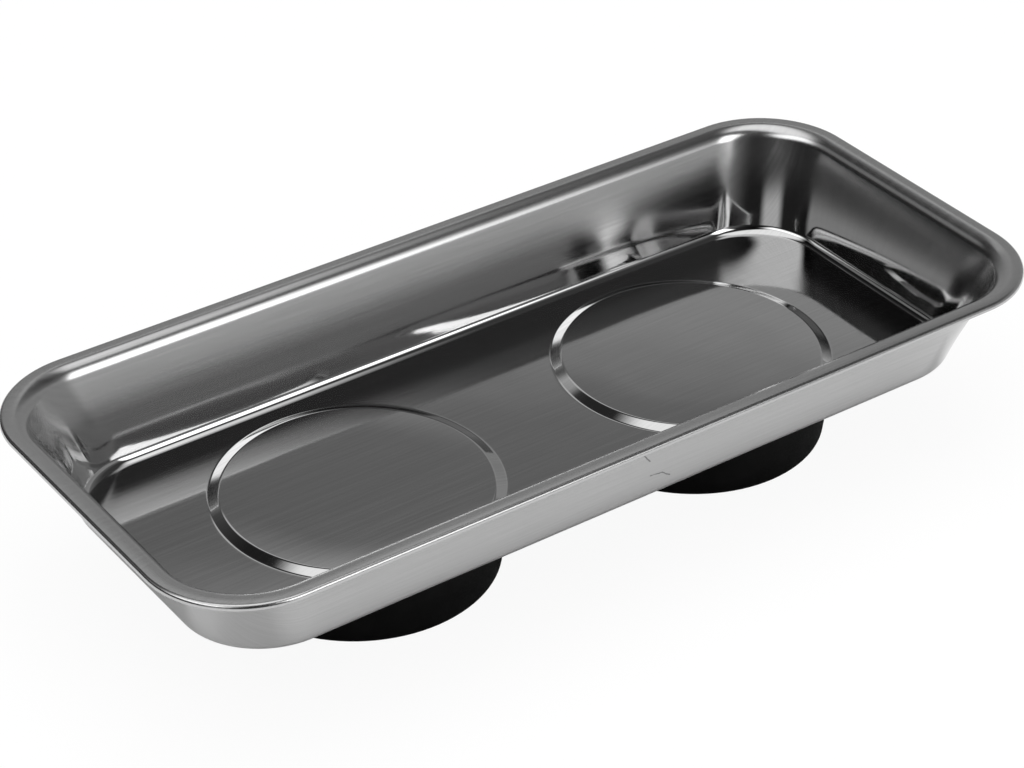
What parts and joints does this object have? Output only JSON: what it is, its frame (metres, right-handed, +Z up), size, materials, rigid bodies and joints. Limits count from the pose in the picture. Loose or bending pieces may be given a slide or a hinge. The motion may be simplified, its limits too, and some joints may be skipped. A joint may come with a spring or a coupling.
{
  "type": "magnetic parts tray",
  "caption": "Shallow rectangular pressed steel tray with a turned rim and sloping walls, standing on round rubber-covered magnet feet that hold loose screws and hold the tray to steel.",
  "frame": {"origin": "on the surface that the rubber boots stand on, below the middle of the tray", "axes": "+X along the tray's length, +Y across its width towards the far side of the picture, +Z up"},
  "size_m": [0.24, 0.109, 0.0437],
  "materials": {
    "tray_steel": "brushed stainless sheet, grain along the tray",
    "boot_rubber": "matt moulded black rubber",
    "ferrite": "ground dark grey ferrite",
    "plate_steel": "plain cold rolled steel, zinc plated",
    "stud_steel": "plain stainless weld stud",
    "fastener_zinc": "bright zinc plate",
    "spring_steel": "dark spring steel"
  },
  "bodies": {
    "root": {"tray": "tray_steel", "left_weld_stud": "stud_steel", "right_weld_stud": "stud_steel", "left_pole_plate": "plate_steel", "right_pole_plate": "plate_steel", "left_ring_magnet": "ferrite", "right_ring_magnet": "ferrite", "left_rubber_boot": "boot_rubber", "right_rubber_boot": "boot_rubber", "left_flat_washer": "fastener_zinc", "right_flat_washer": "fastener_zinc", "left_spring_washer": "spring_steel", "right_spring_washer": "spring_steel", "left_hex_nut": "fastener_zinc", "right_hex_nut": "fastener_zinc"}
  },
  "joints": []
}
